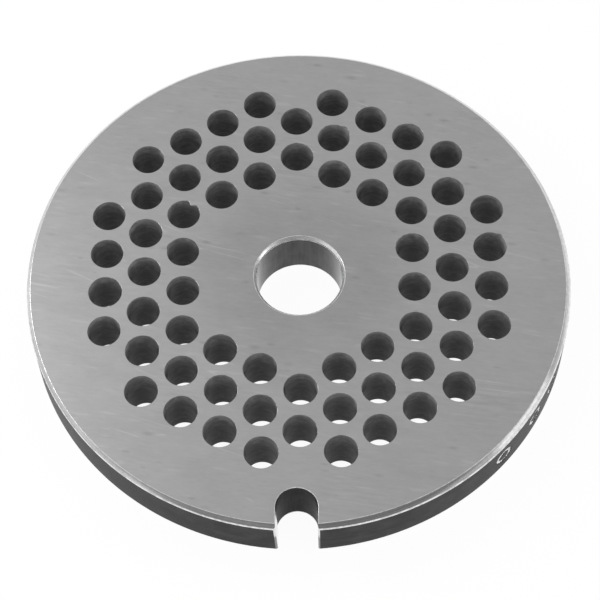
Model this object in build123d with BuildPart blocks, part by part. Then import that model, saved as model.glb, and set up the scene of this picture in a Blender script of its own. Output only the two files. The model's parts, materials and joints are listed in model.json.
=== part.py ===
from build123d import *
from math import ceil, cos, radians, sqrt
import os

# A meat grinder plate: a steel disc, ground flat, that closes the mouth of the grinder's head.  The knife
# turns against its cutting face, and the meat is pushed through the holes and leaves at the back face.
# Sizes are in millimetres.  The plate lies on its back face at z = 0, with the cutting face up, the bore
# on the Z axis and the key notch at -Y.

# Disc
plate_diameter = 70.0
plate_thickness = 7.7
rim_chamfer = 0.55  # at the cutting face
rim_back_chamfer = 0.85  # at the back face, under the ring nut

# Bore, where the stud of the worm runs
bore_diameter = 11.1
bore_chamfer = 0.4  # at the cutting face
bore_back_chamfer = 0.6  # at the back face

# Round-ended notch, which takes the fixed key of the head and stops the plate from turning
notch_width = 5.2
notch_depth = 5.4
notch_corner = 0.25  # 45 degree break of the two corners between the notch and the rim

# Holes on a grid of equal triangles, left solid round the bore and along the rim
hole_diameter = 4.2
hole_web = 1.52  # thinnest wall between neighbouring holes
hub_land = 6.0  # solid width between the bore and the nearest holes, before the grid is shifted
notch_land = 0.6  # solid width between the depth of the notch and the outermost holes, likewise
grid_turn = 1.0  # degrees from the line through the bore and the notch
grid_shift = 0.87  # the middle of the drilled grid lies this far off the bore's axis, away from the notch

plate_radius = plate_diameter / 2
bore_radius = bore_diameter / 2
notch_radius = notch_width / 2
hole_radius = hole_diameter / 2

# Distances from the bore's axis
notch_centre = plate_radius - notch_depth + notch_radius
notch_mouth = sqrt(plate_radius**2 - notch_radius**2)
first_hole = bore_radius + hub_land + hole_radius
last_hole = plate_radius - notch_depth - notch_land - hole_radius

# Grid: columns of holes run from the notch to the far side, and every other column is half a pitch along
hole_pitch = hole_diameter + hole_web
column_step = hole_pitch * cos(radians(30))
reach = ceil(last_hole / column_step)

hole_centres = []
for column in range(-reach, reach + 1):
    for row in range(-2 * reach, 2 * reach + 1):
        centre = Vector(column * column_step, (row + column / 2) * hole_pitch)
        if first_hole <= centre.length <= last_hole:
            hole_centres.append(centre.rotate(Axis.Z, grid_turn) + Vector(0, grid_shift))

with BuildPart() as grinder_plate:
    # Blank, turned from one half section with its four chamfers
    with BuildSketch(Plane.XZ) as half_section:
        with BuildLine():
            Polyline(
                (bore_radius + bore_back_chamfer, 0),
                (plate_radius - rim_back_chamfer, 0),
                (plate_radius, rim_back_chamfer),
                (plate_radius, plate_thickness - rim_chamfer),
                (plate_radius - rim_chamfer, plate_thickness),
                (bore_radius + bore_chamfer, plate_thickness),
                (bore_radius, plate_thickness - bore_chamfer),
                (bore_radius, bore_back_chamfer),
                close=True,
            )
        make_face()
    revolve(axis=Axis.Z)

    # Notch, cut straight through both faces, with its mouth opened at 45 degrees where it meets the rim
    with BuildSketch() as notch:
        with BuildLine():
            CenterArc((0, -notch_centre), notch_radius, 0, 90)
            Polyline(
                (notch_radius, -notch_centre),
                (notch_radius, notch_corner - notch_mouth),
                (notch_radius + notch_depth, notch_corner - notch_mouth - notch_depth),
                (0, notch_corner - notch_mouth - notch_depth),
            )
            mirror(about=Plane.YZ)
        make_face()
    extrude(amount=plate_thickness, mode=Mode.SUBTRACT)

    # Feed holes, drilled and left sharp, because their edges at the cutting face do the shearing
    with Locations(*hole_centres):
        Hole(hole_radius)

grinder_plate.part.label = "grinder_plate"
print("holes:", len(hole_centres))

os.makedirs("parts", exist_ok=True)
export_step(grinder_plate.part, "parts/grinder_plate.step")
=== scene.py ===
# %% [markdown]
# # A meat grinder plate
#
# The object is one solid piece of steel, 70 mm across.  The real one is turned from bar, drilled, milled,
# hardened and last of all ground flat.  Each step leaves its own skin: silver where the grinding wheel
# went, brown-black where only the furnace has been.  What makes such a piece look real is that these
# skins meet at crisp edges that are very slightly broken.  So this lesson rebuilds the form with those
# small edges, marks every face with the tool that made it, and gives each tool its own material.

# %% Load the frame
import bpy
import bmesh
import json
import math
import random
from mathutils import Matrix, Vector


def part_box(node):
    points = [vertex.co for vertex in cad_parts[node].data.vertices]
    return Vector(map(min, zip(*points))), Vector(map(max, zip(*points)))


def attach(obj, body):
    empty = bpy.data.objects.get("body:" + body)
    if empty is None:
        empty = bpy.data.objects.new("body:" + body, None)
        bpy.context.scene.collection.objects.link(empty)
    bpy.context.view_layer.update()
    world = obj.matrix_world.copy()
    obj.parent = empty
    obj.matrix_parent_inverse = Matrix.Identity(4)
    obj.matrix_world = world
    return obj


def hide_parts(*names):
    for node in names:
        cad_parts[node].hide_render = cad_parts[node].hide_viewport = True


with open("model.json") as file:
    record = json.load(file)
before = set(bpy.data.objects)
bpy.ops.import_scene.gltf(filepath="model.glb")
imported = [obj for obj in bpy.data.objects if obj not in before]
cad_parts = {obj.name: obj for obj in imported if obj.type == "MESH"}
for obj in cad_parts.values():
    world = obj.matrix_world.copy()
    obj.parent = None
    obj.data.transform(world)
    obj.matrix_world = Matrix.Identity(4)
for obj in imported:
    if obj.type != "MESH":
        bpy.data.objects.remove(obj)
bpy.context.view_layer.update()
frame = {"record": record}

# %% [markdown]
# ## Sizes from the frame
#
# Radius, bore and thickness come from the frame, so the dressed plate can't drift away from the solid it
# stands for.  The other sizes are the plate's own, in metres, and each stands where it is first needed.

# %% Sizes from the frame
MM = 0.001
mounts = {mount["name"]: mount for mount in frame["record"]["mounts"]}
plate_low, plate_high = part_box("grinder_plate")
plate_radius = mounts["rim"]["dims"]["r_mm"] * MM
bore_radius = mounts["bore"]["dims"]["r_mm"] * MM
thickness = plate_high.z - plate_low.z
print(f"radius {plate_radius}, bore {bore_radius}, thickness {thickness}")

# %% [markdown]
# ## Where the holes go
#
# The holes stand on a grid of equal triangles, the closest packing with one width of web everywhere.  A
# hole is drilled wherever the grid falls between the hub and the depth of the notch.  Two loops and one
# distance test say all of that, and they give the same 66 holes that the solid has.

# %% Sizes of the grid
hole_radius = 2.1 * MM
hole_web = 1.52 * MM
hub_land = 6.0 * MM
notch_depth = 5.4 * MM
notch_land = 0.6 * MM
grid_turn = math.radians(1.0)
grid_shift = 0.87 * MM
hole_pitch = 2 * hole_radius + hole_web
print(f"pitch of the holes: {hole_pitch / MM:.2f} mm")

# %% Hole centres
first_hole = bore_radius + hub_land + hole_radius
last_hole = plate_radius - notch_depth - notch_land - hole_radius
column_step = hole_pitch * math.cos(math.radians(30))
reach = math.ceil(last_hole / column_step)

hole_centres = {}
for column in range(-reach, reach + 1):
    for row in range(-2 * reach, 2 * reach + 1):
        centre = Vector((column * column_step, (row + column / 2) * hole_pitch))
        if first_hole <= centre.length <= last_hole:
            turned = Matrix.Rotation(grid_turn, 2) @ centre
            hole_centres[column, row] = turned + Vector((0, grid_shift))
print("holes:", len(hole_centres))

# %% [markdown]
# ## Sections with broken edges
#
# A turned form is a section that goes round an axis.  Here a section is a list of corners, each with the
# width of its broken edge and the name of the skin that follows it.  `softened` puts a small curve in
# place of each corner.  The wheel, the deburring brush and years of handling leave such curves.  They are
# too small for the solid, but they catch the light as the thin bright line that separates real steel from
# a drawing of it.

# %% Soften the corners of a section
EDGE_STEPS = 4


def softened(start, corners, end):
    """Points (inset, height, skin) from start to end; each corner (inset, height, cut, skin) is rounded."""
    tips = [Vector(start)] + [Vector(corner[:2]) for corner in corners] + [Vector(end)]
    points = []
    for before, tip, after, corner in zip(tips, tips[1:], tips[2:], corners):
        cut, skin = corner[2:]
        first = tip + (before - tip).normalized() * cut
        last = tip + (after - tip).normalized() * cut
        for step in range(EDGE_STEPS):
            t = step / EDGE_STEPS
            point = first * (1 - t) ** 2 + tip * 2 * t * (1 - t) + last * t**2
            points.append((point.x, point.y, "edge"))
        points.append((last.x, last.y, skin))
    return points


print("points for each softened corner:", EDGE_STEPS + 1)


# %% Divide a run of a section
def divided(section, skin, count, crown=0.0):
    """Divide each run of one skin into equal parts; crown is how far its middle stands proud."""
    points = []
    for start, end in zip(section, section[1:]):
        parts = count if start[2] == skin else 1
        for part in range(parts):
            t = part / parts
            proud = crown * 4 * t * (1 - t)
            inset = start[0] + (end[0] - start[0]) * t - proud
            height = start[1] + (end[1] - start[1]) * t
            points.append((inset, height, start[2]))
    return points + [section[-1]]


run = [(0, 0, "run"), (0, 1, "end")]
print("heights of a run in four:", [height for inset, height, skin in divided(run, "run", 4)])

# %% Section of the rim, from the cutting face down to the back face
rim_chamfer = 0.55 * MM
rim_back_chamfer = 0.85 * MM
CHAMFER_CROWN = 0.006 * MM
face_edge = 0.05 * MM
rim_edge = 0.14 * MM

rim_section = softened(
    (plate_radius, thickness),
    [
        (rim_chamfer, thickness, face_edge, "chamfer"),
        (0, thickness - rim_chamfer, rim_edge, "rim"),
        (0, rim_back_chamfer, rim_edge, "back chamfer"),
        (rim_back_chamfer, 0, face_edge, "back"),
    ],
    (plate_radius, 0),
)
rim_section = divided(rim_section, "chamfer", 6, CHAMFER_CROWN)
rim_section = divided(rim_section, "back chamfer", 4)
print("levels of the rim:", len(rim_section))

# %% Section of the bore
bore_chamfer = 0.34 * MM
bore_chamfer_depth = 0.41 * MM
bore_back_chamfer = 0.6 * MM
bore_edge = 0.1 * MM

bore_section = softened(
    (plate_radius, thickness),
    [
        (bore_chamfer, thickness, face_edge, "bore chamfer"),
        (0, thickness - bore_chamfer_depth, bore_edge, "bore"),
        (0, bore_back_chamfer, bore_edge, "back chamfer"),
        (bore_back_chamfer, 0, face_edge, "back"),
    ],
    (plate_radius, 0),
)
bore_section = divided(bore_section, "bore chamfer", 4)
print("levels of the bore:", len(bore_section))

# %% [markdown]
# ## Punch marks
#
# Plates carry a stamp on the rim.  This one has three plain rings from a hollow punch, which say nothing.
# They are real grooves, so the wall needs points that are close enough together to hold them: fine steps
# are added only where a ring is, in height and round the rim.

# %% Where the punch marks are, and how deep
mark_angles = [math.radians(degrees) for degrees in (-42.8, -31.6, -23.4)]
mark_height = 4.1 * MM
mark_radius = 1.12 * MM
mark_groove = 0.34 * MM
mark_depth = 0.2 * MM
mark_step = 0.1 * MM
BRIGHT_GROOVE = 0.35  # share of the depth from which a groove is bright


def groove(angle, height):
    """How deep the punch marks go at a place on the rim."""
    deepest = 0.0
    for middle in mark_angles:
        away = math.hypot((angle - middle) * plate_radius, height - mark_height)
        across = abs(away - mark_radius) / mark_groove
        if across < 1:
            deepest = max(deepest, mark_depth * math.cos(across * math.pi / 2) ** 2)
    return deepest


print("punch marks:", len(mark_angles), "with grooves", mark_depth / MM, "mm deep")

# %% Add the fine steps to the rim's section and round the rim
mark_reach = mark_radius + mark_groove
fine_steps = math.ceil(mark_reach / mark_step)
fine_heights = [mark_height + step * mark_step for step in range(fine_steps, -fine_steps - 1, -1)]
wall_start = next(i for i, point in enumerate(rim_section) if point[2] == "rim")
rim_section[wall_start + 1 : wall_start + 1] = [(0, height, "rim") for height in fine_heights]

RIM_STEPS = 300
notch_gap = math.radians(5.6)
plain_angles = [step * 2 * math.pi / RIM_STEPS - math.pi / 2 for step in range(RIM_STEPS)]
rim_angles = [angle for angle in plain_angles if notch_gap < angle + math.pi / 2 < 2 * math.pi - notch_gap]
for middle in mark_angles:
    for step in range(-fine_steps, fine_steps + 1):
        rim_angles.append(middle + step * mark_step / plate_radius)
rim_angles.sort()
print("steps round the rim:", len(rim_angles), "levels:", len(rim_section))

# %% [markdown]
# ## A chamfer that isn't quite even
#
# The rim's chamfer is turned before the plate is hardened, and the face is ground after.  If the plate
# doesn't lie quite true under the wheel, more is ground off one side, and there the chamfer ends up
# narrower.  `chamfer_share` gives its width at each angle as a share of the mean.

# %% How wide the rim's chamfer is at each angle
UNEVENNESS = 0.16
widest_angle = math.radians(-25)


def chamfer_share(angle):
    return 1 + UNEVENNESS * math.cos(angle - widest_angle)


for degrees in (-25, -90, -155):
    width = rim_chamfer * chamfer_share(math.radians(degrees))
    print(f"chamfer at {degrees} degrees: {width / MM:.2f} mm")

# %% [markdown]
# ## The outline with its notch
#
# The notch was milled after the rim was turned, so at every height its plan is the same U, cut out of a
# circle whose radius follows the rim's section.  A boolean would do, but it leaves ragged triangles along
# the chamfer.  `outline` works out the corner points at each height instead and always gives the same
# number of points, so that neighbouring heights join as clean strips.  The left side of the notch isn't
# quite upright: the fixed key pushes on it, and it leans in a little towards the back face.

# %% Sizes of the notch, and how far its broken edge opens it
notch_radius = 2.6 * MM
notch_corner = 0.25 * MM
notch_lean = 0.22 * MM
notch_edge = 0.09 * MM
notch_centre = plate_radius - notch_depth + notch_radius
notch_mouth = math.sqrt(plate_radius**2 - notch_radius**2)
flare_start = notch_mouth - notch_corner


def notch_growth(height):
    """How far the broken edge has opened the notch at this height."""
    near = max(height - (thickness - notch_edge), notch_edge - height, 0)
    return notch_edge - math.sqrt(max(notch_edge**2 - near**2, 0))


print(f"each side opened at the face by {notch_growth(thickness) / MM:.2f} mm")


# %% One side of the notch
def notch_side(half, radius):
    """Where one side of the notch bends into its corner, and where the corner meets the rim."""
    reach = half + flare_start
    flare = (math.sqrt(reach**2 - 2 * (half**2 + flare_start**2 - radius**2)) - reach) / 2
    if flare > 0:
        return (half, -flare_start), (half + flare, -flare_start - flare)
    meeting = -math.sqrt(radius**2 - half**2)
    return (half, meeting), (half, meeting)


bend, corner = notch_side(notch_radius, plate_radius)
print(f"corner break of the notch: {(corner[0] - bend[0]) / MM:.2f} mm")

# %% One height of the outline
NOTCH_STEPS = 28


def outline(inset, height):
    """The points at one level: round the rim from the notch to the notch, and then round the notch."""
    chamfered = height > thickness - rim_chamfer - 2 * rim_edge

    def place(angle):
        """Radius and height at this angle, with the chamfer as wide as it is there."""
        share = chamfer_share(angle) if chamfered else 1
        return plate_radius - inset * share, thickness - (thickness - height) * share

    notch_reach, notch_level = place(-math.pi / 2)
    half = notch_radius + notch_growth(height)
    left_half = half - notch_lean * (thickness - height) / thickness
    bend, corner = notch_side(half, notch_reach)
    points = [(corner[0], corner[1], notch_level)]
    for angle in rim_angles:
        radius, level = place(angle)
        radius -= groove(angle, height)
        points.append((radius * math.cos(angle), radius * math.sin(angle), level))
    left_bend, left_corner = notch_side(left_half, notch_reach)
    points.append((-left_corner[0], left_corner[1], notch_level))
    points.append((-left_bend[0], left_bend[1], notch_level))
    points.append((-left_half, -notch_centre, notch_level))
    for step in range(1, NOTCH_STEPS + 1):
        angle = math.pi - math.pi * step / NOTCH_STEPS
        points.append((half * math.cos(angle), half * math.sin(angle) - notch_centre, notch_level))
    points.append((bend[0], bend[1], notch_level))
    return points


print("points at each level:", len(outline(0, thickness / 2)))

# %% [markdown]
# ## Strips between rings
#
# From here on everything is one bmesh.  A ring is a row of vertices at one height, and a strip of quads
# joins it to the ring below.  Each face keeps the number of its skin, which later picks its material.

# %% Rings and strips
SKINS = ["face", "back", "chamfer", "back chamfer", "bore chamfer", "edge", "lip", "rim", "mark", "corner"]
SKINS += ["key side", "notch", "bore", "hole"]
plate = bmesh.new()


def add_ring(points):
    return [plate.verts.new(point) for point in points]


def join_rings(upper, lower, skins, inward=False):
    """Join two rings by a strip; skins names the skin of each face round it."""
    for i, skin in enumerate(skins):
        j = (i + 1) % len(upper)
        corners = [upper[i], lower[i], lower[j], upper[j]]
        if inward:
            corners.reverse()
        plate.faces.new(corners).material_index = SKINS.index(skin)


print("skins:", len(SKINS))


# %% Build the rim and the notch
def rim_skins(skin, upper_height, lower_height):
    """The skin of each face in one strip of the outline."""
    height = (upper_height + lower_height) / 2
    skins = [skin] * (len(rim_angles) + 1)
    if skin == "rim":
        for i, (first, second) in enumerate(zip(rim_angles, rim_angles[1:])):
            if groove((first + second) / 2, height) > BRIGHT_GROOVE * mark_depth:
                skins[i + 1] = "mark"
    rounded = max(notch_growth(upper_height), notch_growth(lower_height)) > 0
    inside = "edge" if rounded else "notch"
    return skins + ["corner", "key side"] + [inside] * (NOTCH_STEPS + 1) + ["corner"]


rings = [add_ring(outline(inset, height)) for inset, height, skin in rim_section]
heights = [height for inset, height, skin in rim_section]
for (inset, height, skin), next_height, upper, lower in zip(rim_section, heights[1:], rings, rings[1:]):
    join_rings(upper, lower, rim_skins(skin, height, next_height))
print("faces of the rim and the notch:", len(plate.faces))

# %% Build the bore, which was reamed a touch off the middle
BORE_STEPS = 128
bore_shift = 0.12 * MM


def bore_ring(inset, height):
    """The points of the bore at one level."""
    points = []
    for step in range(BORE_STEPS):
        angle = 2 * math.pi * step / BORE_STEPS
        radius = bore_radius + inset
        points.append((bore_shift + radius * math.cos(angle), radius * math.sin(angle), height))
    return points


rings = [add_ring(bore_ring(inset, height)) for inset, height, skin in bore_section]
for (inset, height, skin), upper, lower in zip(bore_section, rings, rings[1:]):
    join_rings(upper, lower, [skin] * BORE_STEPS, inward=True)
print("faces with the bore:", len(plate.faces))

# %% [markdown]
# ## Drilled holes
#
# A drill never leaves a perfect circle.  It wanders a little before it bites, so each mouth sits a few
# hundredths of a millimetre beside its hole and the first millimetre of wall leans.  Each hole is also a
# few hundredths off its size and slightly out of round, and the deburring brush breaks each edge by its
# own amount.  All of this is drawn from one seed.  Five holes have a chip or a torn lip, listed one by one.

# %% The levels of a hole: inset in edge widths, depth below the cutting face, and skin
HOLE_STEPS = 56
LEAN_DEPTH = 1.1 * MM
quarter_turn = [step * math.pi / 2 / EDGE_STEPS for step in range(EDGE_STEPS + 1)]
edge_arc = [(1 - math.sin(angle), 1 - math.cos(angle)) for angle in quarter_turn]
wall_depths = [0.2 * MM, 0.4 * MM, 0.7 * MM, LEAN_DEPTH, thickness / 2]
print("levels of a hole:", 2 * len(edge_arc) + len(wall_depths))

# %% Chips by grid place: direction and half width in degrees, and size; below zero, metal stands
CHIP_DEPTH = 0.9 * MM
NO_CHIP = (0, 1, 0.0)
chips = {
    (-3, 3): (57, 15, -0.5 * MM),
    (1, 3): (38, 24, 0.28 * MM),
    (5, -2): (50, 12, 0.2 * MM),
    (4, -2): (150, 14, 0.14 * MM),
    (-3, 2): (155, 16, 0.16 * MM),
}


def chip_size(chip, angle, depth):
    """How far a chip moves the wall at this angle and depth."""
    direction, half_width, size = chip
    away = (math.degrees(angle) - direction + 180) % 360 - 180
    across = max(0.0, 1 - (away / half_width) ** 2)
    down = max(0.0, 1 - depth / CHIP_DEPTH)
    return size * across * down


print("chipped holes:", len(chips))

# %% Build the holes
random.seed(66)
for place in sorted(hole_centres):
    centre = hole_centres[place]
    edge = random.uniform(0.02, 0.06) * MM
    wide = random.uniform(-0.02, 0.06) * MM
    lean_turn = random.uniform(0, 2 * math.pi)
    lean = Matrix.Rotation(lean_turn, 2) @ Vector((random.uniform(0.02, 0.11) * MM, 0))
    oval = random.uniform(0.004, 0.014) * MM
    turn_two = random.uniform(0, 2 * math.pi)
    turn_three = random.uniform(0, 2 * math.pi)
    chip = chips.get(place, NO_CHIP)
    levels = [(edge * inset, edge * down, "lip") for inset, down in edge_arc[:-1]]
    levels += [(0, edge, "hole")] + [(0, depth, "hole") for depth in wall_depths]
    levels += [(edge * inset, thickness - edge * down, "lip") for inset, down in reversed(edge_arc)]
    rings = []
    for inset, depth, skin in levels:
        middle = centre + lean * max(0.0, 1 - depth / LEAN_DEPTH) ** 2
        points = []
        for step in range(HOLE_STEPS):
            angle = 2 * math.pi * step / HOLE_STEPS
            waves = math.sin(2 * angle + turn_two) + 0.6 * math.sin(3 * angle + turn_three)
            radius = hole_radius + wide + inset + oval * waves + chip_size(chip, angle, depth)
            x = middle.x + radius * math.cos(angle)
            y = middle.y + radius * math.sin(angle)
            points.append((x, y, thickness - depth))
        rings.append(add_ring(points))
    for (inset, depth, skin), upper, lower in zip(levels, rings, rings[1:]):
        join_rings(upper, lower, [skin] * HOLE_STEPS, inward=True)
print("faces with the holes:", len(plate.faces))

# %% [markdown]
# ## Closing the two faces
#
# Both faces are flat sheets with 67 openings.  A triangle fill takes the open edges of all the loops at
# once and works out which side is metal.  Long thin triangles do no harm on a flat face, because all
# have the same normal.

# %% Merge the points that the flare leaves doubled, then fill both faces
SAME_POINT = 0.0001 * MM
SAME_LEVEL = 0.01 * MM
bmesh.ops.remove_doubles(plate, verts=plate.verts, dist=SAME_POINT)
for height, skin, up in ((thickness, "face", 1), (0, "back", -1)):
    open_edges = [edge for edge in plate.edges if edge.is_boundary]
    loops = [edge for edge in open_edges if abs(edge.verts[0].co.z - height) < SAME_LEVEL]
    filled = bmesh.ops.triangle_fill(plate, edges=loops, use_beauty=True, normal=(0, 0, up))
    sheet = [item for item in filled["geom"] if isinstance(item, bmesh.types.BMFace)]
    for triangle in sheet:
        triangle.material_index = SKINS.index(skin)
        triangle.normal_update()
        if triangle.normal.z * up < 0:
            triangle.normal_flip()
    area = sum(triangle.calc_area() for triangle in sheet)
    print(f"{skin}: {area / MM**2:.1f} mm2 in {len(sheet)} triangles")

# %% Smooth inside each skin, crisp between skins
for polygon in plate.faces:
    polygon.smooth = SKINS[polygon.material_index] not in ("face", "back")
for edge in plate.edges:
    edge.smooth = len({polygon.material_index for polygon in edge.link_faces}) == 1
print("edges without exactly two faces:", sum(len(edge.link_faces) != 2 for edge in plate.edges))
print("volume in mm3:", plate.calc_volume(signed=True) / MM**3)

# %% Make the piece
plate_mesh = bpy.data.meshes.new("ground_plate")
plate.to_mesh(plate_mesh)
plate.free()
ground_plate = bpy.data.objects.new("ground_plate", plate_mesh)
bpy.context.scene.collection.objects.link(ground_plate)
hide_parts("grinder_plate")
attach(ground_plate, "root")
print("triangles:", sum(len(polygon.vertices) - 2 for polygon in plate_mesh.polygons))

# %% [markdown]
# ## Small tools for node trees
#
# The finishes are built from nodes only.  A few helpers keep the cells short: `add` places a node and
# fills or links its inputs by name, `tone` sums patterns round a middle level, and `open_group` starts a
# node group with named inputs and outputs.  All patterns work in millimetres, because bare numbers such
# as a scratch 6 long and 0.2 wide are then easy to judge.

# %% Add a node
def add(tree, kind, inputs, **settings):
    """Add a shader node; a value in inputs is set on its socket, and a socket is linked to it."""
    node = tree.nodes.new("ShaderNode" + kind)
    for name, value in settings.items():
        setattr(node, name, value)
    for name, value in inputs.items():
        if isinstance(value, bpy.types.NodeSocket):
            tree.links.new(value, node.inputs[name])
        else:
            node.inputs[name].default_value = value
    return node


def math_node(tree, operation, first, second=0.0):
    return add(tree, "Math", {0: first, 1: second}, operation=operation).outputs[0]


def vector_node(tree, operation, first, second):
    return add(tree, "VectorMath", {0: first, 1: second}, operation=operation).outputs[0]


print("helpers: add, math_node, vector_node")


# %% Patterns and levels
def smooth_range(tree, value, low, high, start=0.0, end=1.0):
    """Smoothly turn the range from low to high into the range from start to end."""
    inputs = {"Value": value, "From Min": low, "From Max": high, "To Min": start, "To Max": end}
    return add(tree, "MapRange", inputs, interpolation_type="SMOOTHSTEP").outputs["Result"]


def noise(tree, vector, scale, detail=2.0, roughness=0.5):
    inputs = {"Vector": vector, "Scale": scale, "Detail": detail, "Roughness": roughness}
    return add(tree, "TexNoise", inputs).outputs["Fac"]


def tone(tree, middle, patterns):
    """A level round middle, which each (pattern, weight) swings by its weight as it goes from 0 to 1."""
    level = middle - sum(weight for pattern, weight in patterns) / 2
    for pattern, weight in patterns:
        level = add(tree, "Math", {0: pattern, 1: weight, 2: level}, operation="MULTIPLY_ADD").outputs[0]
    return level


def stretch(tree, vector, direction, along, across):
    """Turn a vector by direction, in radians, and divide it by a length along and a length across."""
    back_turn = math_node(tree, "MULTIPLY", direction, -1.0)
    turned = add(tree, "VectorRotate", {"Vector": vector, "Angle": back_turn}, rotation_type="Z_AXIS")
    size = add(tree, "CombineXYZ", {"X": along, "Y": across, "Z": across})
    return vector_node(tree, "DIVIDE", turned.outputs[0], size.outputs[0])


print("helpers: smooth_range, noise, tone, stretch")


# %% Open a node group
def open_group(name, inputs, outputs):
    """A node group with a Vector input; more inputs are (name, type, value), and outputs (name, type)."""
    group = bpy.data.node_groups.new(name, "ShaderNodeTree")
    for label, kind, value in [("Vector", "Vector", None)] + inputs:
        socket = group.interface.new_socket(label, in_out="INPUT", socket_type="NodeSocket" + kind)
        if value is not None:
            socket.default_value = value
    for label, kind in outputs:
        group.interface.new_socket(label, in_out="OUTPUT", socket_type="NodeSocket" + kind)
    given = group.nodes.new("NodeGroupInput").outputs
    made = group.nodes.new("NodeGroupOutput").inputs
    return group, given, made


print("helper: open_group")

# %% [markdown]
# ## Grinding grain
#
# A surface grinder runs its wheel straight across the plate, and every grit leaves one fine line.  Seen
# from a step away the lines melt into a soft grain with long pale and dark threads.  Noise that is
# stretched along one direction does this: short across the lines, long along them.  Two layers, a coarse
# and a fine one, keep it from looking like wood.

# %% Node group: grinding grain
grinding_grain, given, made = open_group(
    "grinding_grain",
    [("Direction", "Float", 0.0), ("Spacing", "Float", 0.3), ("Length", "Float", 9.0)],
    [("Grain", "Float")],
)
tree = grinding_grain
stretched = stretch(tree, given["Vector"], given["Direction"], given["Length"], given["Spacing"])
coarse = noise(tree, stretched, 1.0, detail=2.0, roughness=0.6)
fine = noise(tree, stretched, 3.1, detail=3.0, roughness=0.7)
both_layers = tone(tree, 0.5, [(coarse, 0.6), (fine, 0.4)])
tree.links.new(smooth_range(tree, both_layers, 0.32, 0.68), made["Grain"])
print("group:", grinding_grain.name)

# %% [markdown]
# ## Stray scratches
#
# Between the wheel and the kitchen a plate is stacked, wiped and dropped.  The scratches from that are
# few, long and nearly straight, and they cross the grain.  The trick is the contour line of a stretched
# noise: where the noise passes one half there is always a thin line.  A second, slow noise lets only a
# few stretches of those lines show.

# %% Node group: stray scratches
stray_scratches, given, made = open_group(
    "stray_scratches",
    [
        ("Direction", "Float", 0.0),
        ("Spacing", "Float", 3.0),
        ("Length", "Float", 60.0),
        ("Width", "Float", 0.02),
        ("Share", "Float", 0.4),
    ],
    [("Mask", "Float")],
)
tree = stray_scratches
stretched = stretch(tree, given["Vector"], given["Direction"], given["Length"], given["Spacing"])
above_half = math_node(tree, "SUBTRACT", noise(tree, stretched, 1.0, detail=0.0), 0.5)
from_half = math_node(tree, "ABSOLUTE", above_half)
line = smooth_range(tree, from_half, 0.0, given["Width"], 1.0, 0.0)
slow = noise(tree, given["Vector"], 0.16, detail=1.0)
edge_of_share = math_node(tree, "SUBTRACT", 1.0, given["Share"])
shown = smooth_range(tree, slow, edge_of_share, math_node(tree, "ADD", edge_of_share, 0.06))
tree.links.new(math_node(tree, "MULTIPLY", line, shown), made["Mask"])
print("group:", stray_scratches.name)

# %% [markdown]
# ## Specks and dashes
#
# Ground steel keeps a few pores and specks, and short dashes where a grit skipped.  A Voronoi texture
# gives one random point per cell.  Its colour decides which cells have a speck at all and how large it
# is, its distance draws the speck, and stretching the space first turns the specks into dashes.

# %% Node group: specks
specks, given, made = open_group(
    "specks",
    [
        ("Direction", "Float", 0.0),
        ("Stretch", "Float", 1.0),
        ("Spacing", "Float", 1.5),
        ("Size", "Float", 0.1),
        ("Share", "Float", 0.3),
    ],
    [("Mask", "Float")],
)
tree = specks
stretched = stretch(tree, given["Vector"], given["Direction"], given["Stretch"], 1.0)
cells_per_mm = math_node(tree, "DIVIDE", 1.0, given["Spacing"])
cells = add(tree, "TexVoronoi", {"Vector": stretched, "Scale": cells_per_mm})
lot = add(tree, "SeparateColor", {"Color": cells.outputs["Color"]}).outputs
drawn = math_node(tree, "LESS_THAN", lot[0], given["Share"])
speck_size = math_node(tree, "MULTIPLY", math_node(tree, "MULTIPLY", given["Size"], cells_per_mm), lot[1])
spot = smooth_range(tree, cells.outputs["Distance"], 0.0, speck_size, 1.0, 0.0)
tree.links.new(math_node(tree, "MULTIPLY", spot, drawn), made["Mask"])
print("group:", specks.name)

# %% [markdown]
# ## Lathe coordinates
#
# Tool marks on turned faces run round the axis, so their pattern needs a place round the rim and a place
# along the section, not X, Y and Z.  An angle would jump from 180 to -180 degrees and leave a seam.  X and
# Y themselves never jump, so the group keeps them, scaled to steps per millimetre round the rim, and puts
# the place along the section in Z.

# %% Node group: lathe coordinates
def part_of(tree, vector, axis):
    return add(tree, "SeparateXYZ", {0: vector}).outputs[axis]


def length_of(tree, vector):
    return add(tree, "VectorMath", {0: vector}, operation="LENGTH").outputs["Value"]


lathe_coordinates, given, made = open_group(
    "lathe_coordinates",
    [("Round", "Float", 1.0), ("Along", "Float", 1.0)],
    [("Vector", "Vector")],
)
tree = lathe_coordinates
flat = vector_node(tree, "MULTIPLY", given["Vector"], (1, 1, 0))
radius = length_of(tree, flat)
round_rim = add(tree, "VectorMath", {0: flat, "Scale": given["Round"]}, operation="SCALE").outputs[0]
round_parts = add(tree, "SeparateXYZ", {0: round_rim}).outputs
height = part_of(tree, given["Vector"], "Z")
place_along = math_node(tree, "MULTIPLY", math_node(tree, "SUBTRACT", height, radius), given["Along"])
lathe = add(tree, "CombineXYZ", {"X": round_parts["X"], "Y": round_parts["Y"], "Z": place_along}).outputs[0]
tree.links.new(lathe, made["Vector"])
print("group:", lathe_coordinates.name)

# %% [markdown]
# ## Single scratches
#
# The deepest scratches are too few to leave to chance.  This group draws one: a straight hairline from a
# start, in one direction, that is faint at both ends.  Each use of it in a material is one scratch.

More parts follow.
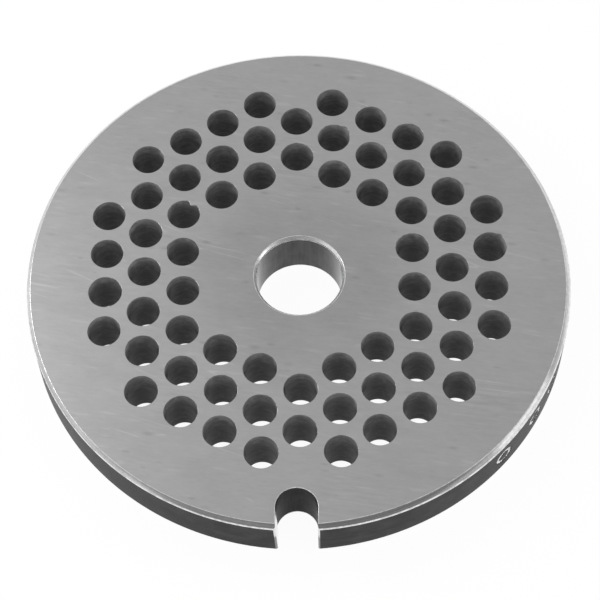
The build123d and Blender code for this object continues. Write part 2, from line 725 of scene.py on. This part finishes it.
# %% Node group: single scratch
single_scratch, given, made = open_group(
    "single_scratch",
    [
        ("Start", "Vector", None),
        ("Direction", "Float", 0.0),
        ("Length", "Float", 5.0),
        ("Width", "Float", 0.1),
    ],
    [("Mask", "Float")],
)
tree = single_scratch
from_start = vector_node(tree, "SUBTRACT", given["Vector"], given["Start"])
parts = add(tree, "SeparateXYZ", {0: stretch(tree, from_start, given["Direction"], 1.0, 1.0)}).outputs
off_line = math_node(tree, "ABSOLUTE", parts["Y"])
across = smooth_range(tree, off_line, 0.0, given["Width"], 1.0, 0.0)
share_along = math_node(tree, "DIVIDE", parts["X"], given["Length"])
opening = smooth_range(tree, share_along, 0.0, 0.35)
closing = smooth_range(tree, share_along, 0.5, 1.0, 1.0, 0.0)
both_ends = math_node(tree, "MULTIPLY", opening, closing)
tree.links.new(math_node(tree, "MULTIPLY", across, both_ends), made["Mask"])
print("group:", single_scratch.name)

# %% [markdown]
# ## Hardening scale
#
# Where no wheel goes after the furnace, the steel keeps a thin skin of scale: dark, satin and slightly
# mottled, thinner in some places so that grey shows through.  One group gives a level between its dark
# and its thin tone, and a roughness and a height to go with it, for the rim, the holes and the notch.

# %% Node group: hardening scale
def blend(tree, mask, first, second):
    """The value first where the mask is 0, and second where it is 1."""
    return add(tree, "Mix", {"Factor": mask, "A": first, "B": second}).outputs["Result"]


hardening_scale, given, made = open_group(
    "hardening_scale",
    [("Dark", "Float", 0.02), ("Thin", "Float", 0.05), ("Size", "Float", 1.2)],
    [("Level", "Float"), ("Roughness", "Float"), ("Height", "Float")],
)
tree = hardening_scale
patches_per_mm = math_node(tree, "DIVIDE", 1.0, given["Size"])
patches = noise(tree, given["Vector"], patches_per_mm, detail=3.0, roughness=0.6)
grit = noise(tree, given["Vector"], 9.0, detail=2.0, roughness=0.7)
thinned = smooth_range(tree, tone(tree, 0.5, [(patches, 1.0), (grit, 0.25)]), 0.4, 0.75)
tree.links.new(blend(tree, thinned, given["Dark"], given["Thin"]), made["Level"])
tree.links.new(smooth_range(tree, grit, 0.3, 0.7, 0.36, 0.46), made["Roughness"])
tree.links.new(grit, made["Height"])
print("group:", hardening_scale.name)

# %% [markdown]
# ## Edge wear
#
# The scale comes off first beside the two ground faces, where the wheel and the knife rub.  Distance from
# the nearer face is all that the mask needs, with a noise that makes its border ragged.

# %% Node group: edge wear
edge_wear, given, made = open_group(
    "edge_wear",
    [("Width", "Float", 0.3), ("Ragged", "Float", 0.5)],
    [("Mask", "Float")],
)
tree = edge_wear
height = part_of(tree, given["Vector"], "Z")
below_face = math_node(tree, "SUBTRACT", thickness / MM, height)
nearer = math_node(tree, "MINIMUM", below_face, height)
unevenness = tone(tree, 0.0, [(noise(tree, given["Vector"], 1.7, detail=3.0), 2.0)])
ragged = math_node(tree, "ADD", nearer, math_node(tree, "MULTIPLY", unevenness, given["Ragged"]))
tree.links.new(smooth_range(tree, ragged, 0.0, given["Width"], 1.0, 0.0), made["Mask"])
print("group:", edge_wear.name)

# %% [markdown]
# ## One material for each skin
#
# `start_material` makes the part that all the skins share: the place on the piece in millimetres, and a
# Principled shader that is metal if nothing else is said.  `use_group` places an effect with a skin's own
# values, and `finish_material` links what the skin has worked out.  The steel is a neutral grey, so one
# level stands for its colour.

# %% Use a node group, and start and finish a material
def use_group(tree, group, **inputs):
    """Place a node group in a tree, with a value or a socket for each of its inputs."""
    return add(tree, "Group", inputs, node_tree=group).outputs


def start_material(name, metallic=1.0, edge_tint=1.0):
    """A steel material; edge_tint darkens what it mirrors at a low angle, as painted shade of the shadowed
    floor.
    """
    material = bpy.data.materials.new(name)
    material.use_nodes = True
    tree = material.node_tree
    shader = tree.nodes["Principled BSDF"]
    shader.inputs["Metallic"].default_value = metallic
    # Below 1 the edge tint is painted shade: it darkens the floor that the steel mirrors at a low angle.
    shader.inputs["Specular Tint"].default_value = (edge_tint, edge_tint, edge_tint, 1)
    place = tree.nodes.new("ShaderNodeTexCoord").outputs["Object"]
    in_mm = add(tree, "VectorMath", {0: place, "Scale": 1 / MM}, operation="SCALE").outputs[0]
    return material, tree, in_mm


def finish_material(material, level, roughness, height, depth):
    """Link a grey level and a roughness, and a height from 0 to 1 that is depth millimetres deep."""
    tree = material.node_tree
    shader = tree.nodes["Principled BSDF"]
    tree.links.new(level, shader.inputs["Base Color"])
    tree.links.new(roughness, shader.inputs["Roughness"])
    node = add(tree, "Bump", {"Height": height, "Strength": 1.0, "Distance": depth * MM})
    tree.links.new(node.outputs[0], shader.inputs["Normal"])
    print("material:", material.name, "with", len(tree.nodes), "nodes")


print("helpers: use_group, start_material, finish_material")

# %% [markdown]
# ### Ground faces
#
# The cutting face is what one sees: even silver-grey, with the grain of the wheel.  The wheel cuts coarser
# in some patches than in others, and bit hardest at the right front, so the grain comes and goes.  Between
# the patches the steel is quietly mottled, with short pale dashes and dark specks along the grain.

# %% Ground face: grain in patches
ground_face, tree, in_mm = start_material("ground_face")
GRAIN = math.radians(-8)
fine_grain = use_group(tree, grinding_grain, Vector=in_mm, Direction=GRAIN, Spacing=0.2, Length=1.8)[0]
threads = use_group(tree, grinding_grain, Vector=in_mm, Direction=GRAIN, Spacing=0.42, Length=8.0)[0]
coarse_cut = smooth_range(tree, noise(tree, in_mm, 0.09, detail=2.0), 0.58, 0.74)
bite_place = (23.0, -18.0, thickness / MM)
bite_stretch = (0.6, 1.0, 0.0)
from_bite = vector_node(tree, "MULTIPLY", vector_node(tree, "SUBTRACT", in_mm, bite_place), bite_stretch)
bite = smooth_range(tree, length_of(tree, from_bite), 1.0, 5.5, 1.0, 0.0)
coarse_cut = math_node(tree, "MAXIMUM", coarse_cut, bite)
threads = blend(tree, smooth_range(tree, coarse_cut, 0.0, 1.0, 0.12, 1.0), 0.5, threads)
print("nodes with the grain:", len(tree.nodes))

# %% Ground face: mottling, and a darker ring round the hub
lengthwise = stretch(tree, in_mm, GRAIN, 2.2, 1.0)
small_mottle = noise(tree, lengthwise, 1.5, detail=3.0, roughness=0.65)
mottle = noise(tree, lengthwise, 0.42, detail=3.0, roughness=0.6)
clouds = noise(tree, in_mm, 0.12, detail=2.0)
from_axis = length_of(tree, vector_node(tree, "MULTIPLY", in_mm, (1, 1, 0)))
hub_ring = smooth_range(tree, from_axis, 8.0, 19.0, 1.0, 0.0)
print("nodes with the mottling:", len(tree.nodes))

# %% Ground face: specks and dashes
speckled = smooth_range(tree, noise(tree, in_mm, 0.14, detail=1.0), 0.4, 0.6, 0.25, 1.0)
dark_specks = use_group(
    tree, specks, Vector=in_mm, Direction=GRAIN, Stretch=2.6, Spacing=0.85, Size=0.5, Share=0.3
)[0]
dark_specks = math_node(tree, "MULTIPLY", dark_specks, speckled)
pale_dashes = use_group(
    tree, specks, Vector=in_mm, Direction=GRAIN, Stretch=6.0, Spacing=0.5, Size=0.4, Share=0.22
)[0]
print("nodes with the specks:", len(tree.nodes))

# %% Ground face: scratches; start in mm, direction in degrees, length and width in mm
deep_scratches = [
    ((-14.6, 5.2), -14, 10.0, 0.1),
    ((-13.4, 4.3), -17, 9.0, 0.09),
    ((19.5, -14.6), -9, 8.0, 0.1),
    ((20.4, -15.9), -8, 9.5, 0.09),
    ((-30.5, 16.5), -28, 6.0, 0.1),
    ((-31.0, 1.5), -27, 9.0, 0.12),
    ((-12.0, -23.5), -20, 7.0, 0.08),
]
stray_size = {"Spacing": 1.8, "Length": 26.0, "Width": 0.016, "Share": 0.4}
scratches = use_group(tree, stray_scratches, Vector=in_mm, Direction=math.radians(-20), **stray_size)[0]
for (x, y), degrees, length, width in deep_scratches:
    line = {"Start": (x, y, thickness / MM), "Direction": math.radians(degrees)}
    scratch = use_group(tree, single_scratch, Vector=in_mm, Length=length, Width=width, **line)[0]
    scratches = math_node(tree, "MAXIMUM", scratches, scratch)
print("deep scratches:", len(deep_scratches))

# %% Material: ground face
patterns = [
    (fine_grain, 0.024),
    (threads, 0.055),
    (small_mottle, 0.06),
    (mottle, 0.06),
    (clouds, 0.04),
    (hub_ring, -0.055),
    (scratches, 0.09),
    (pale_dashes, 0.045),
    (dark_specks, -0.08),
]
level = tone(tree, 0.455, patterns)
roughness = tone(tree, 0.4, [(threads, -0.06), (mottle, 0.08), (scratches, -0.06)])
relief = tone(tree, 0.5, [(threads, 0.5), (fine_grain, 0.2), (scratches, -0.3)])
finish_material(ground_face, level, roughness, relief, 0.001)

# %% [markdown]
# ### Turned chamfers
#
# The chamfers are the brightest skin.  The tool left fine lines round them, and a faint chatter straight
# across, which noise in lathe coordinates gives: few steps round the axis and many along the section for
# the lines, and the other way about for the chatter.

# %% Material: turned chamfer
turned_chamfer, tree, in_mm = start_material("turned_chamfer")
ringwise = use_group(tree, lathe_coordinates, Vector=in_mm, Round=0.08, Along=6.0)[0]
crosswise = use_group(tree, lathe_coordinates, Vector=in_mm, Round=1.8, Along=0.4)[0]
lines_round = smooth_range(tree, noise(tree, ringwise, 1.0, detail=2.0, roughness=0.6), 0.35, 0.65)
chatter = smooth_range(tree, noise(tree, crosswise, 1.0, detail=3.0, roughness=0.6), 0.35, 0.65)
level = tone(tree, 0.62, [(lines_round, 0.22), (chatter, 0.08)])
roughness = tone(tree, 0.17, [(lines_round, -0.05), (chatter, -0.03)])
relief = tone(tree, 0.5, [(lines_round, 0.6), (chatter, 0.4)])
finish_material(turned_chamfer, level, roughness, relief, 0.001)

# %% [markdown]
# ### Broken edges, lips and rubbed steel
#
# Every edge is polished by handling, so it is a little lighter and smoother than what it joins, with
# small dull places where the brush missed.  The lips of the holes are duller.  The chamfer of the bore
# and the left side of the notch are brighter still: the stud and the key keep them rubbed, and their
# level is raised further as a painted highlight.  The stud leans on the half of the bore that lies away
# from the notch, so the other half is duller.

# %% Materials: broken edge and hole lip
for name, middle, dull in (("broken_edge", 0.76, 0.24), ("hole_lip", 0.32, 0.28)):
    material, tree, in_mm = start_material(name)
    missed = smooth_range(tree, noise(tree, in_mm, 1.3, detail=3.0, roughness=0.6), 0.42, 0.62)
    level = tone(tree, middle, [(missed, -dull)])
    finish_material(material, level, tone(tree, 0.32, [(missed, 0.14)]), missed, 0.002)

# %% Material: rubbed steel with a painted highlight
rubbed_highlight_steel, tree, in_mm = start_material("rubbed_highlight_steel")
upright = vector_node(tree, "MULTIPLY", in_mm, (3.0, 3.0, 0.5))
rubbed = smooth_range(tree, noise(tree, upright, 1.0, detail=2.0), 0.3, 0.7)
# The high level is partly a painted highlight on the bore's chamfer and the key side.
level = tone(tree, 0.92, [(rubbed, 0.1)])
from_dull = math_node(tree, "ADD", part_of(tree, in_mm, "Y"), bore_radius / MM / 2)
dull_half = smooth_range(tree, math_node(tree, "ABSOLUTE", from_dull), 2.5, 5.5, 0.42, 0.22)
roughness = math_node(tree, "ADD", dull_half, tone(tree, 0.0, [(rubbed, -0.06)]))
finish_material(rubbed_highlight_steel, level, roughness, rubbed, 0.001)

# %% [markdown]
# ### Skins that keep their scale
#
# The rim's wall, the holes and the notch are dark.  They differ in what lies under the scale: fine rings
# round the rim, the drill's rings in the holes, and upright cutter marks in the notch.  The edge tint
# darkens what the rim and the notch mirror at a low angle, as painted shade of the shadowed floor
# beside the plate.  In the holes the scale is thick and has no shine of metal left.  There the level is
# painted lighter towards the cutting face and darker deep down, as painted light and shade.

# %% Material: scaled rim
scaled_rim, tree, in_mm = start_material("scaled_rim", edge_tint=0.78)
scale = use_group(tree, hardening_scale, Vector=in_mm, Dark=0.014, Thin=0.036, Size=2.4)
ringwise = use_group(tree, lathe_coordinates, Vector=in_mm, Round=0.05, Along=2.5)[0]
rings_round = smooth_range(tree, noise(tree, ringwise, 1.0, detail=3.0, roughness=0.6), 0.3, 0.7)
worn = use_group(tree, edge_wear, Vector=in_mm, Width=0.8, Ragged=0.4)[0]
level = math_node(tree, "ADD", tone(tree, 0.008, [(rings_round, 0.014)]), scale["Level"])
level = blend(tree, math_node(tree, "MULTIPLY", worn, 0.4), level, 0.09)
relief = tone(tree, 0.5, [(rings_round, 0.6), (scale["Height"], 0.4)])
finish_material(scaled_rim, level, scale["Roughness"], relief, 0.003)

# %% Material: drilled hole
PAINTED_LIGHT_DEPTH = 4.4
drilled_hole, tree, in_mm = start_material("drilled_hole", metallic=0.0)
tree.nodes["Principled BSDF"].inputs["Specular IOR Level"].default_value = 0.08
scale = use_group(tree, hardening_scale, Vector=in_mm, Dark=0.14, Thin=0.24, Size=1.3)
layers = vector_node(tree, "MULTIPLY", in_mm, (0.3, 0.3, 2.6))
drill_rings = smooth_range(tree, noise(tree, layers, 1.0, detail=2.0, roughness=0.6), 0.4, 0.65)
worn = use_group(tree, edge_wear, Vector=in_mm, Width=0.5, Ragged=0.3)[0]
level = math_node(tree, "ADD", tone(tree, 0.0, [(drill_rings, 0.04)]), scale["Level"])
height = part_of(tree, in_mm, "Z")
# Painted light towards the cutting face and painted shade deep in the hole, by depth alone.
painted_depth_light = smooth_range(tree, height, thickness / MM - PAINTED_LIGHT_DEPTH, thickness / MM, 0.62, 2.2)
level = blend(tree, math_node(tree, "MULTIPLY", worn, 0.5), math_node(tree, "MULTIPLY", level, painted_depth_light), 0.42)
finish_material(drilled_hole, level, scale["Roughness"], drill_rings, 0.004)

# %% Material: milled notch
milled_notch, tree, in_mm = start_material("milled_notch", edge_tint=0.7)
scale = use_group(tree, hardening_scale, Vector=in_mm, Dark=0.004, Thin=0.014, Size=1.6)
upright = vector_node(tree, "MULTIPLY", in_mm, (3.5, 3.5, 0.3))
cutter_marks = smooth_range(tree, noise(tree, upright, 1.0, detail=2.0, roughness=0.6), 0.35, 0.65)
worn = use_group(tree, edge_wear, Vector=in_mm, Width=0.4, Ragged=0.3)[0]
level = math_node(tree, "ADD", tone(tree, 0.004, [(cutter_marks, 0.006)]), scale["Level"])
level = blend(tree, math_node(tree, "MULTIPLY", worn, 0.4), level, 0.07)
finish_material(milled_notch, level, scale["Roughness"], cutter_marks, 0.004)

# %% [markdown]
# ### Notch corners
#
# The key rubs most of all the upper part of the two corners of the notch.  There they are bare and
# bright, partly as a painted highlight, and further down they are grey.

# %% Material: notch corner
notch_corner_steel, tree, in_mm = start_material("notch_corner", edge_tint=0.8)
height = part_of(tree, in_mm, "Z")
nicks = noise(tree, in_mm, 1.6, detail=3.0, roughness=0.6)
ragged = tone(tree, 0.0, [(nicks, 2.4)])
rubbed_highlight_from = thickness / MM - 3.6
rubbed_highlight_full = thickness / MM - 2.2
rubbed = smooth_range(tree, math_node(tree, "ADD", height, ragged), rubbed_highlight_from, rubbed_highlight_full)
# The bright upper part is rubbed steel and partly a painted highlight; lower down it is grey.
level = blend(tree, rubbed, 0.3, tone(tree, 0.85, [(nicks, 0.2)]))
finish_material(notch_corner_steel, level, smooth_range(tree, rubbed, 0.0, 1.0, 0.4, 0.22), nicks, 0.003)

# %% [markdown]
# ### Reamed bore
#
# The stud of the worm turns in the bore, so the bore is reamed after hardening and then kept smooth.  It
# is much darker than the faces.

# %% Material: reamed bore
reamed_bore, tree, in_mm = start_material("reamed_bore")
upright = vector_node(tree, "MULTIPLY", in_mm, (2.4, 2.4, 0.2))
streaks = smooth_range(tree, noise(tree, upright, 1.0, detail=2.0, roughness=0.6), 0.3, 0.7)
stains = smooth_range(tree, noise(tree, in_mm, 0.5, detail=3.0), 0.4, 0.65)
level = tone(tree, 0.05, [(streaks, 0.016), (stains, -0.014)])
finish_material(reamed_bore, level, tone(tree, 0.16, [(streaks, -0.05)]), streaks, 0.001)

# %% Give each skin its material
skin_materials = {
    "face": ground_face,
    "back": ground_face,
    "chamfer": turned_chamfer,
    "back chamfer": turned_chamfer,
    "bore chamfer": rubbed_highlight_steel,
    "edge": bpy.data.materials["broken_edge"],
    "lip": bpy.data.materials["hole_lip"],
    "rim": scaled_rim,
    "mark": bpy.data.materials["broken_edge"],
    "corner": notch_corner_steel,
    "key side": rubbed_highlight_steel,
    "notch": milled_notch,
    "bore": reamed_bore,
    "hole": drilled_hole,
}
for skin in SKINS:
    plate_mesh.materials.append(skin_materials[skin])
print("materials:", len(set(skin_materials.values())))

# %% [markdown]
# ## Floor
#
# The plate lies on a plain white floor.  For the camera, and in the mirror of the steel, the floor is
# almost all plain white light.  The small share that is left is a lit surface, and keeps the plate's soft
# shadow.  For all other rays the floor is ordinary white board.

# %% Floor
FLOOR_SIZE = 6.0
FLOOR_GLOW = 0.95
BOARD_WHITE = 0.9
SEEN_WHITE = 0.07
floor_mesh = bpy.data.meshes.new("floor")
half = FLOOR_SIZE / 2
floor_corners = [(-half, -half, 0), (half, -half, 0), (half, half, 0), (-half, half, 0)]
floor_mesh.from_pydata(floor_corners, [], [(0, 1, 2, 3)])
floor = bpy.data.objects.new("floor", floor_mesh)
bpy.context.scene.collection.objects.link(floor)

floor_white = bpy.data.materials.new("floor_white")
floor_white.use_nodes = True
tree = floor_white.node_tree
tree.nodes.clear()
rays = tree.nodes.new("ShaderNodeLightPath").outputs
seen = math_node(tree, "MAXIMUM", rays["Is Camera Ray"], rays["Is Glossy Ray"])
seen = math_node(tree, "MAXIMUM", seen, rays["Is Transmission Ray"])
board = blend(tree, seen, BOARD_WHITE, SEEN_WHITE)
lit = add(tree, "BsdfDiffuse", {"Color": board}).outputs[0]
glow = add(tree, "Emission", {"Strength": math_node(tree, "MULTIPLY", seen, FLOOR_GLOW)}).outputs[0]
surface = add(tree, "AddShader", {0: lit, 1: glow}).outputs[0]
add(tree, "OutputMaterial", {"Surface": surface})
floor_mesh.materials.append(floor_white)
print("floor:", FLOOR_SIZE, "m")

# %% [markdown]
# ## Room
#
# The room is white, a little brighter at the horizon than overhead, as in a studio with a white wall all
# round; only the far right wall is greyer.  On the camera's side there is one dark wedge above the horizon,
# where someone stands.  The near chamfer mirrors it, and without that dark line the steel would look like
# paper.

# %% Room: brightness by height and towards the right
OVERHEAD = 0.92
ZENITH = 0.92
RIGHT_WALL = 0.7
room = bpy.data.worlds.new("room")
bpy.context.scene.world = room
room.use_nodes = True
tree = room.node_tree
tree.nodes.clear()
direction = tree.nodes.new("ShaderNodeTexCoord").outputs["Generated"]
parts = add(tree, "SeparateXYZ", {0: direction}).outputs
level = smooth_range(tree, parts["Z"], 0.1, 0.45, 1.0, OVERHEAD)
level = math_node(tree, "MULTIPLY", level, smooth_range(tree, parts["Z"], 0.55, 1.0, 1.0, ZENITH))
level = math_node(tree, "MULTIPLY", level, smooth_range(tree, parts["X"], 0.7, 0.95, 1.0, RIGHT_WALL))
print(f"overhead {OVERHEAD * ZENITH:.2f}, right wall {RIGHT_WALL}")

# %% Room: the dark wedge, which widens upwards and is darkest on its right
WEDGE_LEVEL = 0.37
WEDGE_RIGHT = 0.75
LOWEST = 0.01
sideways = math_node(tree, "DIVIDE", parts["X"], math_node(tree, "MAXIMUM", parts["Z"], LOWEST))
right_side = smooth_range(tree, sideways, 2.4, 2.9, 1.0, 0.0)
left_side = smooth_range(tree, sideways, -3.0, -1.6)
in_front = smooth_range(tree, math_node(tree, "MULTIPLY", parts["Y"], -1.0), 0.3, 0.5)
wedge_foot = smooth_range(tree, parts["Z"], 0.16, 0.3)
wedge_top = smooth_range(tree, parts["Z"], 0.65, 0.85, 1.0, 0.0)
wedge = in_front
for side in (right_side, left_side, wedge_foot, wedge_top):
    wedge = math_node(tree, "MULTIPLY", wedge, side)
darkness = smooth_range(tree, sideways, -0.8, 0.8, WEDGE_LEVEL, WEDGE_LEVEL * WEDGE_RIGHT)
level = math_node(tree, "MULTIPLY", level, blend(tree, smooth_range(tree, wedge, 0.0, 1.0), 1.0, darkness))
background = add(tree, "Background", {"Strength": level}).outputs[0]
add(tree, "OutputWorld", {"Surface": background})
print("room:", room.name)

# %% [markdown]
# ## Soft boxes
#
# A soft box stands low on the right.  It hardly lights the flat face, but the chamfer and the bore turn
# towards it and flash.  A small panel hangs close to the left of the plate, and because it is so close,
# its sheen fades from the left edge to the hub.  The level of each is given as the brightness one would
# see in a mirror, because that is what counts on metal.

# %% Soft boxes
def softbox(name, azimuth, elevation, distance, width, height, brightness):
    """A rectangular lamp that faces the plate; a brightness of 1 is white in a mirror."""
    lamp = bpy.data.lights.new(name, "AREA")
    lamp.shape = "RECTANGLE"
    lamp.size = width
    lamp.size_y = height
    lamp.energy = brightness * math.pi * width * height
    holder = bpy.data.objects.new(name, lamp)
    holder.visible_camera = False
    bpy.context.scene.collection.objects.link(holder)
    turn = Matrix.Rotation(math.radians(azimuth) + math.pi / 2, 4, "Z")
    tilt = Matrix.Rotation(math.radians(90 - elevation), 4, "X")
    holder.matrix_world = turn @ tilt @ Matrix.Translation((0, 0, distance))
    print(f"{name}: {lamp.energy:.3f} W")


softbox("softbox_right", azimuth=-12, elevation=11, distance=0.9, width=0.4, height=0.2, brightness=0.8)
softbox("panel_left", azimuth=160, elevation=45, distance=0.15, width=0.06, height=0.06, brightness=3.5)

# %% [markdown]
# ## Camera
#
# The camera looks down at the plate from the notch side.  It is only 250 mm away, so the holes close up
# towards the far side.  It is given by where it looks, from how high and how far.

# %% Camera
view_elevation = math.radians(61.27)
view_turn = math.radians(2.03)
view_roll = math.radians(-1.90)
view_distance = 252.9 * MM
look_point = Vector((0.236 * MM, -3.646 * MM, thickness))
lens_in_widths = 3.299

camera_data = bpy.data.cameras.new("camera")
camera_data.sensor_width = 36
camera_data.lens = camera_data.sensor_width * lens_in_widths
camera = bpy.data.objects.new("camera", camera_data)
bpy.context.scene.collection.objects.link(camera)
camera.matrix_world = (
    Matrix.Translation(look_point)
    @ Matrix.Rotation(view_turn, 4, "Z")
    @ Matrix.Rotation(math.pi / 2 - view_elevation, 4, "X")
    @ Matrix.Rotation(view_roll, 4, "Z")
    @ Matrix.Translation((0, 0, view_distance))
)
bpy.context.scene.camera = camera
bpy.context.scene.view_settings.view_transform = "Standard"
print("camera at", camera.matrix_world.translation)
